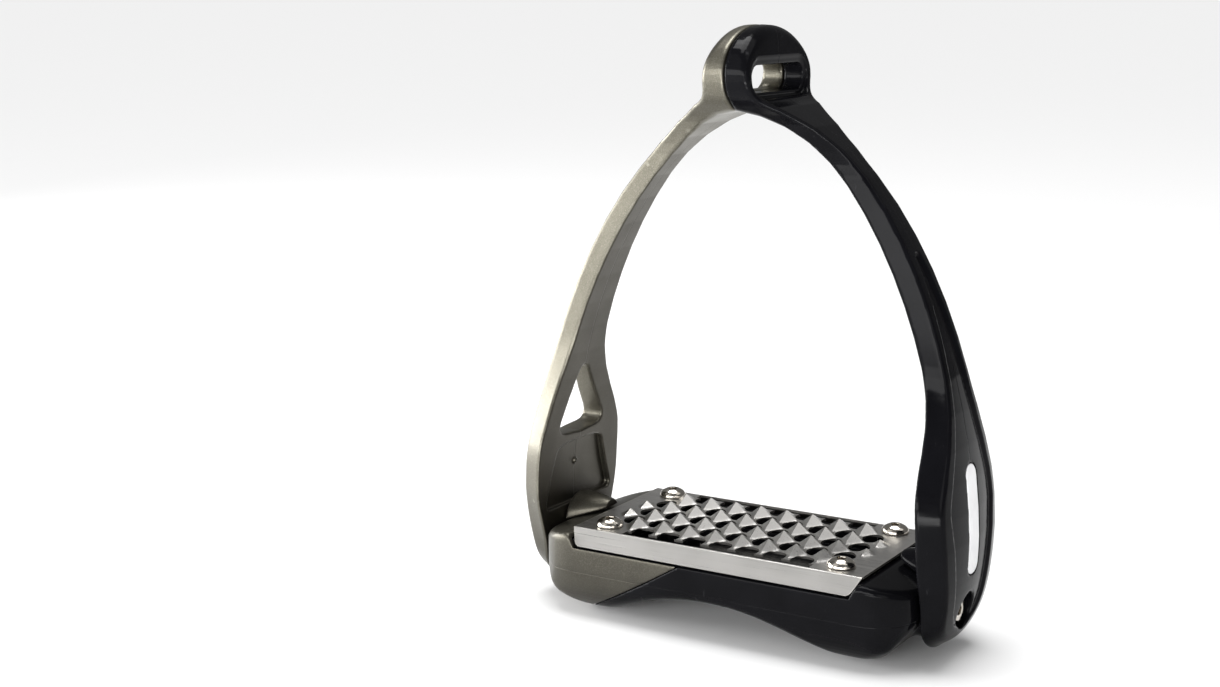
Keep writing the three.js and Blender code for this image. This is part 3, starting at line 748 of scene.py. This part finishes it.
def clip_shape(gap=0.5, steps=64):
    """A flat spring ring with a gap of that many radians either side of +X."""
    th = np.linspace(gap, 2 * np.pi - gap, steps)
    ring = chamfered(2.0, 5.95, CLIP_X - 0.5, CLIP_X + 0.5)
    k = len(ring)
    V = [(r * math.cos(t), r * math.sin(t), h) for t in th for r, h in ring]
    Q = []
    for i in range(steps - 1):
        for a in range(k):
            b = (a + 1) % k
            Q.append((i * k + a, (i + 1) * k + a, (i + 1) * k + b, i * k + b))
    Q += [tuple(range(k)), tuple(reversed(range((steps - 1) * k, steps * k)))]
    o = make("catch_clip_ring", np.array(V), Q)
    face_outward(o, 1e-6)
    o.data.set_sharp_from_angle(angle=math.radians(35))
    return o


# ---------------------------------------------------------------- materials
def new_material(name):
    """A material, its node tree and its Principled node."""
    m = bpy.data.materials.new(name)
    m.use_nodes = True
    nt = m.node_tree
    nt.nodes.clear()
    out = nt.nodes.new("ShaderNodeOutputMaterial")
    p = nt.nodes.new("ShaderNodeBsdfPrincipled")
    nt.links.new(p.outputs[0], out.inputs[0])
    return m, nt, p


def put(nt, entry, value):
    """Links a node's output to an input, or sets the input to a number or colour."""
    if isinstance(value, bpy.types.NodeSocket):
        nt.links.new(value, entry)
    elif isinstance(value, tuple) and len(value) == 3 and entry.type == "RGBA":
        entry.default_value = (*value, 1)
    else:
        entry.default_value = value


def coords(nt, scale=(1, 1, 1)):
    tc = nt.nodes.new("ShaderNodeTexCoord")
    mp = nt.nodes.new("ShaderNodeMapping")
    mp.inputs["Scale"].default_value = scale
    nt.links.new(tc.outputs["Object"], mp.inputs["Vector"])
    return mp.outputs[0]


def noise(nt, scale, detail=3, stretch=(1, 1, 1), rough=0.5):
    n = nt.nodes.new("ShaderNodeTexNoise")
    n.inputs["Scale"].default_value = scale
    n.inputs["Detail"].default_value = detail
    n.inputs["Roughness"].default_value = rough
    nt.links.new(coords(nt, stretch), n.inputs["Vector"])
    return n.outputs["Fac"]


def spread(nt, value, a, b, lo=0.0, hi=1.0):
    """The value's range from a to b, stretched to run from lo to hi."""
    n = nt.nodes.new("ShaderNodeMapRange")
    n.clamp = True
    put(nt, n.inputs["Value"], value)
    for k, v in zip(("From Min", "From Max", "To Min", "To Max"), (a, b, lo, hi)):
        put(nt, n.inputs[k], v)
    return n.outputs[0]


def calc(nt, op, a, b=0.0):
    n = nt.nodes.new("ShaderNodeMath")
    n.operation = op
    put(nt, n.inputs[0], a)
    put(nt, n.inputs[1], b)
    return n.outputs[0]


def times(nt, a, b):
    return calc(nt, "MULTIPLY", a, b)


def blend_colour(nt, fac, a, b):
    """Colour a where fac is 0, b where it is 1."""
    n = nt.nodes.new("ShaderNodeMix")
    n.data_type = "RGBA"
    factor, colour_a, colour_b, result = 0, 6, 7, 2
    put(nt, n.inputs[factor], fac)
    put(nt, n.inputs[colour_a], a)
    put(nt, n.inputs[colour_b], b)
    return n.outputs[result]


def bump(nt, height, strength, distance, under=None):
    n = nt.nodes.new("ShaderNodeBump")
    n.inputs["Strength"].default_value = strength
    n.inputs["Distance"].default_value = distance
    put(nt, n.inputs["Height"], height)
    if under is not None:
        nt.links.new(under, n.inputs["Normal"])
    return n.outputs[0]


def component(nt, output, axis):
    """One axis of an object-space coordinate."""
    tc = nt.nodes.new("ShaderNodeTexCoord")
    s = nt.nodes.new("ShaderNodeSeparateXYZ")
    nt.links.new(tc.outputs[output], s.inputs[0])
    return s.outputs[axis]


def position(nt, axis):
    return component(nt, "Object", axis)


def facing(nt, axis):
    """How far the surface faces along an axis of the object."""
    return component(nt, "Normal", axis)


def size_of(nt, value):
    return calc(nt, "ABSOLUTE", value)


def edges(nt, a, b):
    """1 on sharp outer edges, where handling wears the surface."""
    g = nt.nodes.new("ShaderNodeNewGeometry")
    return spread(nt, g.outputs["Pointiness"], a, b)


def scratches(nt, stretch, scale, a, b):
    return spread(nt, noise(nt, scale, 2, stretch), a, b)


def parting_line(nt):
    """0 on the fine line the mould leaves: down the middle of an arm, round the base at mid-height."""
    base_end, mid_height, arm_start, width = BASE_X * MM, 0.0135, 0.0300, 0.0002
    on_base = spread(nt, size_of(nt, position(nt, "X")), base_end - width / 2, base_end + width / 2)
    middle = size_of(nt, position(nt, "Y"))
    level = size_of(nt, calc(nt, "SUBTRACT", position(nt, "Z"), mid_height))
    high = spread(nt, position(nt, "Z"), arm_start, arm_start + width)
    arm = calc(nt, "MAXIMUM", on_base, high)
    off = calc(nt, "ADD", times(nt, middle, arm), times(nt, level, calc(nt, "SUBTRACT", 1.0, arm)))
    return spread(nt, off, 0.00006, 0.00022)


def pewter():
    m, nt, p = new_material("pewter_satin")
    dark, light, bright = (0.082, 0.076, 0.058), (0.122, 0.114, 0.090), (0.30, 0.288, 0.245)
    bare, painted_shade, shaded = (0.40, 0.385, 0.33), (0.030, 0.028, 0.024), (0.034, 0.030, 0.023)
    fleck = noise(nt, 3400, 2)
    c = blend_colour(nt, spread(nt, noise(nt, 38, 4, (1, 1, 0.35)), 0.3, 0.7), dark, light)
    c = blend_colour(nt, spread(nt, fleck, 0.45, 0.75, 0, 0.35), c, bright)
    worn = times(nt, edges(nt, 0.52, 0.60), spread(nt, noise(nt, 260, 3), 0.4, 0.65, 0.15, 0.6))
    c = blend_colour(nt, worn, c, bare)
    # painted shade: the colour darkens toward the bottom, from 36 mm down to 14 mm, patchy with noise
    low = spread(nt, position(nt, "Z"), 0.014, 0.036, 0.75, 0.0)
    low_shade = times(nt, low, spread(nt, noise(nt, 70, 4), 0.3, 0.7, 0.75, 1.0))
    c = blend_colour(nt, low_shade, c, painted_shade)
    c = blend_colour(nt, spread(nt, facing(nt, "X"), 0.5, 0.9, 0.0, 0.75), c, shaded)
    put(nt, p.inputs["Base Color"], c)
    p.inputs["Metallic"].default_value = 0.82
    r = spread(nt, noise(nt, 90, 4), 0.3, 0.7, 0.30, 0.42)
    put(nt, p.inputs["Roughness"], calc(nt, "SUBTRACT", r, times(nt, worn, 0.1)))
    n = bump(nt, fleck, 0.10, 0.00008)
    n = bump(nt, noise(nt, 420, 3), 0.06, 0.0002, n)
    put(nt, p.inputs["Normal"], bump(nt, parting_line(nt), 0.45, 0.00012, n))
    return m


def gloss_black():
    m, nt, p = new_material("gloss_black")
    dark, light = (0.0022, 0.0022, 0.0028), (0.0042, 0.0042, 0.0052)
    c = blend_colour(nt, spread(nt, noise(nt, 60, 3), 0.35, 0.7), dark, light)
    rub = scratches(nt, (1, 1, 0.12), 900, 0.70, 0.78)
    c = blend_colour(nt, times(nt, edges(nt, 0.53, 0.62), 0.25), c, (0.05, 0.05, 0.055))
    c = blend_colour(nt, times(nt, rub, 0.12), c, (0.08, 0.08, 0.085))
    put(nt, p.inputs["Base Color"], c)
    r = spread(nt, noise(nt, 45, 5), 0.3, 0.75, 0.11, 0.19)
    put(nt, p.inputs["Roughness"], calc(nt, "ADD", r, times(nt, rub, 0.15)))
    p.inputs["IOR"].default_value = 1.5
    p.inputs["Specular IOR Level"].default_value = 0.06
    n = bump(nt, noise(nt, 130, 3), 0.05, 0.0004)
    n = bump(nt, noise(nt, 2600, 2), 0.03, 0.00005, n)
    put(nt, p.inputs["Normal"], bump(nt, parting_line(nt), 0.5, 0.00012, n))
    return m


def stainless():
    """Brushed along the plate; rougher on the steep walls of the holes and teeth, and darker there with
    painted shade that also stands for the dull sheared edge.
    """
    m, nt, p = new_material("brushed_stainless")
    dark, light, bright = (0.44, 0.43, 0.412), (0.54, 0.528, 0.508), (0.56, 0.548, 0.525)
    grain = noise(nt, 420, 4, (0.045, 7, 7), 0.7)
    c = blend_colour(nt, spread(nt, noise(nt, 55, 3), 0.3, 0.7), dark, light)
    c = blend_colour(nt, spread(nt, grain, 0.35, 0.7, 0, 0.5), c, bright)
    nick = scratches(nt, (0.7, 0.1, 0.5), 700, 0.71, 0.76)
    c = blend_colour(nt, times(nt, nick, 0.35), c, (0.14, 0.137, 0.133))
    c = blend_colour(nt, edges(nt, 0.53, 0.60), c, (0.60, 0.58, 0.54))
    # painted shade in the holes: steep walls inside the toothed area turn dark and non-metallic; this also
    # stands for the rough sheared edge, which is why those walls are rougher too
    tread = spread(nt, size_of(nt, position(nt, "Y")), 0.0235, 0.0240, 1.0, 0.0)
    shaded_walls = times(nt, tread, spread(nt, facing(nt, "Z"), 0.15, 0.40, 1.0, 0.0))
    c = blend_colour(nt, shaded_walls, c, (0.045, 0.042, 0.038))
    put(nt, p.inputs["Base Color"], c)
    put(nt, p.inputs["Metallic"], calc(nt, "SUBTRACT", 1.0, shaded_walls))
    r = calc(nt, "ADD", spread(nt, grain, 0.25, 0.75, 0.24, 0.40), times(nt, shaded_walls, 0.3))
    put(nt, p.inputs["Roughness"], calc(nt, "ADD", r, times(nt, nick, 0.12)))
    n = bump(nt, grain, 0.10, 0.00004)
    put(nt, p.inputs["Normal"], bump(nt, nick, 0.12, 0.00003, n))
    return m


def plain_metal(name, dark, light, rough):
    """A machined metal with brighter edges."""
    m, nt, p = new_material(name)
    c = blend_colour(nt, spread(nt, noise(nt, 160, 4), 0.3, 0.7), dark, light)
    bright = tuple(min(1.0, v * 1.4) for v in light)
    c = blend_colour(nt, times(nt, edges(nt, 0.53, 0.62), 0.5), c, bright)
    put(nt, p.inputs["Base Color"], c)
    p.inputs["Metallic"].default_value = 1.0
    put(nt, p.inputs["Roughness"], spread(nt, noise(nt, 340, 3), 0.3, 0.7, rough * 0.75, rough * 1.3))
    put(nt, p.inputs["Normal"], bump(nt, noise(nt, 900, 3), 0.08, 0.00005))
    return m


def badge_resin():
    """Blue under clear resin, with one slanting white band."""
    m, nt, p = new_material("badge_resin")
    blue, lighter_blue, white = (0.010, 0.095, 0.30), (0.014, 0.125, 0.38), (0.62, 0.63, 0.64)
    along, up = position(nt, "Y"), calc(nt, "SUBTRACT", position(nt, "Z"), BADGE_Z * MM)
    slant = calc(nt, "ADD", times(nt, along, 0.80), times(nt, up, 0.60))
    band = spread(nt, size_of(nt, slant), 0.00115, 0.00130, 1.0, 0.0)
    c = blend_colour(nt, spread(nt, noise(nt, 120, 3), 0.3, 0.7), blue, lighter_blue)
    put(nt, p.inputs["Base Color"], blend_colour(nt, band, c, white))
    put(nt, p.inputs["Roughness"], spread(nt, noise(nt, 200, 4), 0.3, 0.7, 0.05, 0.12))
    p.inputs["Coat Weight"].default_value = 0.8
    p.inputs["Coat Roughness"].default_value = 0.04
    put(nt, p.inputs["Normal"], bump(nt, noise(nt, 300, 2), 0.04, 0.0001))
    return m


def label_white():
    m, nt, p = new_material("label_white")
    white, brighter, rubbed = (0.74, 0.74, 0.75), (0.83, 0.83, 0.84), (0.55, 0.55, 0.56)
    c = blend_colour(nt, spread(nt, noise(nt, 150, 4), 0.3, 0.7), white, brighter)
    c = blend_colour(nt, scratches(nt, (1, 1, 0.3), 800, 0.72, 0.78), c, rubbed)
    put(nt, p.inputs["Base Color"], c)
    put(nt, p.inputs["Roughness"], spread(nt, noise(nt, 260, 4), 0.3, 0.7, 0.30, 0.45))
    put(nt, p.inputs["Normal"], bump(nt, noise(nt, 1500, 3), 0.08, 0.00005))
    return m


MATERIALS = {
    "pewter": pewter(),
    "gloss_black": gloss_black(),
    "stainless": stainless(),
    "steel": plain_metal("polished_steel", (0.50, 0.465, 0.41), (0.64, 0.60, 0.54), 0.15),
    "brass": plain_metal("machined_brass", (0.46, 0.30, 0.10), (0.58, 0.40, 0.16), 0.28),
    "spring_steel": plain_metal("spring_steel", (0.24, 0.24, 0.25), (0.34, 0.34, 0.35), 0.3),
    "badge_resin": badge_resin(),
    "label_white": label_white(),
}


def paint(o, slot):
    o.data.materials.clear()
    o.data.materials.append(MATERIALS[slot])


def place(o, body, slot, *nodes):
    """Gives a piece its material and the body that carries it, and hides the CAD nodes that it stands for."""
    paint(o, slot)
    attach(o, body)
    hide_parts(*nodes)


# ---------------------------------------------------------------- the pieces
ARM_BOX = (-0.6, -24, 1), (71, 24, 173)         # where each shape is looked for: lowest and highest x, y, z
BASE_BOX = (-60.6, -30.4, -1), (60.6, 30.4, 27)
CAP_BOX = (-60.6, -30.4, -1), (-4, 30.4, 27)
DOME_BOX = (47, -8.5, 20), (60.5, 8.5, 31)
COVER_BOX = (59, -17, 28), (62.5, 17, 64)
BADGE_BOX = (66, -12.5, 28.5), (69, 12.5, 43)
LABEL_BOX = (64, -5, 22.5), (70.5, 5, 56.5)
SMALL = 0.35                                    # mesh step of the small pieces

place(flip_x(skin("fixed_arm_moulding", fixed_arm, *ARM_BOX)), "frame", "pewter", "fixed_arm")
place(skin("release_arm_moulding", release_arm, *ARM_BOX), "release_arm", "gloss_black", "release_arm")
place(skin("cover_moulding", cover_shape, *COVER_BOX), "release_arm", "gloss_black", "release_arm_cover")
place(flip_x(skin("badge_dome", badge_shape, *BADGE_BOX, SMALL)), "frame", "badge_resin", "badge")
place(skin("label_plate", label_shape, *LABEL_BOX, 0.3), "release_arm", "label_white", "label")
place(skin("end_cap_moulding", end_cap, *CAP_BOX), "frame", "pewter", "base_end_cap")
place(skin("base_moulding", base_body, *BASE_BOX), "frame", "gloss_black", "base_body")
place(skin("release_dome_moulding", dome, *DOME_BOX, SMALL), "frame", "gloss_black", "release_end_dome")
place(flip_x(skin("fixed_dome_moulding", dome, *DOME_BOX, SMALL)), "frame", "pewter", "fixed_end_dome")
place(grip_plate(), "frame", "stainless", "tread_plate")

for k, (sx, sy) in enumerate([(-1, -1), (-1, 1), (1, -1), (1, 1)], 1):
    screw = button_screw(f"button_screw_{k}")
    spot = Vector((sx * SCREW_X, sy * SCREW_Y, TREAD + 0.12)) * MM
    screw.data.transform(Matrix.Translation(spot) @ Matrix.Rotation(0.5 * k + 0.2, 4, "Z"))
    place(screw, "frame", "steel", f"tread_screw_{k}")

for side, body, name, tip in ((-1, "frame", "fixed_arm", 47), (1, "release_arm", "release_arm", 54)):
    place(lay_along_x(cap_screw(f"{name}_cap_screw", tip), side), body, "steel", f"{name}_screw")
    washer = turned(f"{name}_flat_washer", chamfered(FOOT_BORE, 4.4, 59.5, 60.3), close=True)
    place(lay_along_x(washer, side), body, "steel", f"{name}_washer")
place(lay_along_x(stud_shape(), 1), "release_arm", "steel", "catch_stud")
place(lay_along_x(clip_shape(), 1), "frame", "spring_steel", "catch_clip")

for name in [f"tread_insert_{k}" for k in (1, 2, 3, 4)] + ["fixed_arm_insert"]:
    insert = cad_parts[name]
    paint(insert, "brass")
    edge = insert.modifiers.new("edge", "BEVEL")
    edge.width = 0.1 * MM
    edge.segments = 2
    edge.angle_limit = math.radians(40)

# ---------------------------------------------------------------- floor, light and camera
def add(name, data):
    o = bpy.data.objects.new(name, data)
    bpy.context.scene.collection.objects.link(o)
    return o


def pale_floor(half=300):
    """A square of floor, in metres."""
    me = bpy.data.meshes.new("floor")
    corners = [(-half, -half, 0), (half, -half, 0), (half, half, 0), (-half, half, 0)]
    me.from_pydata(corners, [], [(0, 1, 2, 3)])
    m, nt, p = new_material("pale_floor")
    put(nt, p.inputs["Base Color"], (0.86, 0.86, 0.86))
    p.inputs["Roughness"].default_value = 0.6
    me.materials.append(m)
    add("floor", me)


def white_surroundings(strength):
    world = bpy.data.worlds.new("studio")
    bpy.context.scene.world = world
    world.use_nodes = True
    background = world.node_tree.nodes["Background"]
    background.inputs["Color"].default_value = (1, 1, 1, 1)
    background.inputs["Strength"].default_value = strength


def overhead_sun(strength, softness, toward):
    sun = bpy.data.lights.new("overhead", "SUN")
    sun.energy = strength
    sun.angle = math.radians(softness)
    add("overhead", sun).rotation_euler = Vector(toward).to_track_quat("Z", "Y").to_euler()


def softbox(name, where, target, size, power, size_y=None):
    """An area light; sizes and places in metres, power in watts."""
    light = bpy.data.lights.new(name, "AREA")
    light.energy = power
    light.size = size
    if size_y:
        light.shape, light.size_y = "RECTANGLE", size_y
    o = add(name, light)
    o.location = where
    o.rotation_euler = (Vector(target) - Vector(where)).to_track_quat("-Z", "Y").to_euler()
    o.visible_camera = False


pale_floor()
white_surroundings(0.18)
overhead_sun(3.0, softness=40, toward=(-0.12, 0.15, 0.97))
softbox("left_low", (-0.9, -0.2, 0.22), target=(0, 0, 0.1), size=0.9, power=13, size_y=0.42)
softbox("front_wide", (-0.08, -1.2, 0.28), target=(-0.08, 0, 0.22), size=1.6, power=15, size_y=0.36)
softbox("front_low", (0.26, -0.42, 0.004), target=(0.26, -0.42, 1), size=0.3, power=6, size_y=0.3)
softbox("front_high", (-0.6, -0.75, 0.85), target=(0, 0, 0.03), size=0.9, power=1.5)
softbox("tread_key", (0.42, 0.18, 0.9), target=(0, 0, 0.03), size=0.6, power=1.1)
softbox("right_fill", (1.0, -0.7, 0.35), target=(0.06, 0, 0.04), size=0.5, power=1.5)
bpy.context.scene.view_settings.view_transform = "Standard"

cam = bpy.data.cameras.new("camera")
cam.sensor_width = 36
cam.lens = 53.706
camera = add("camera", cam)
camera.location = (0.23415, -0.45774, 0.18159)
tilt, roll, heading = 78.9383, 0.1165, 31.6800      # degrees
camera.rotation_euler = [math.radians(angle) for angle in (tilt, roll, heading)]
bpy.context.scene.camera = camera
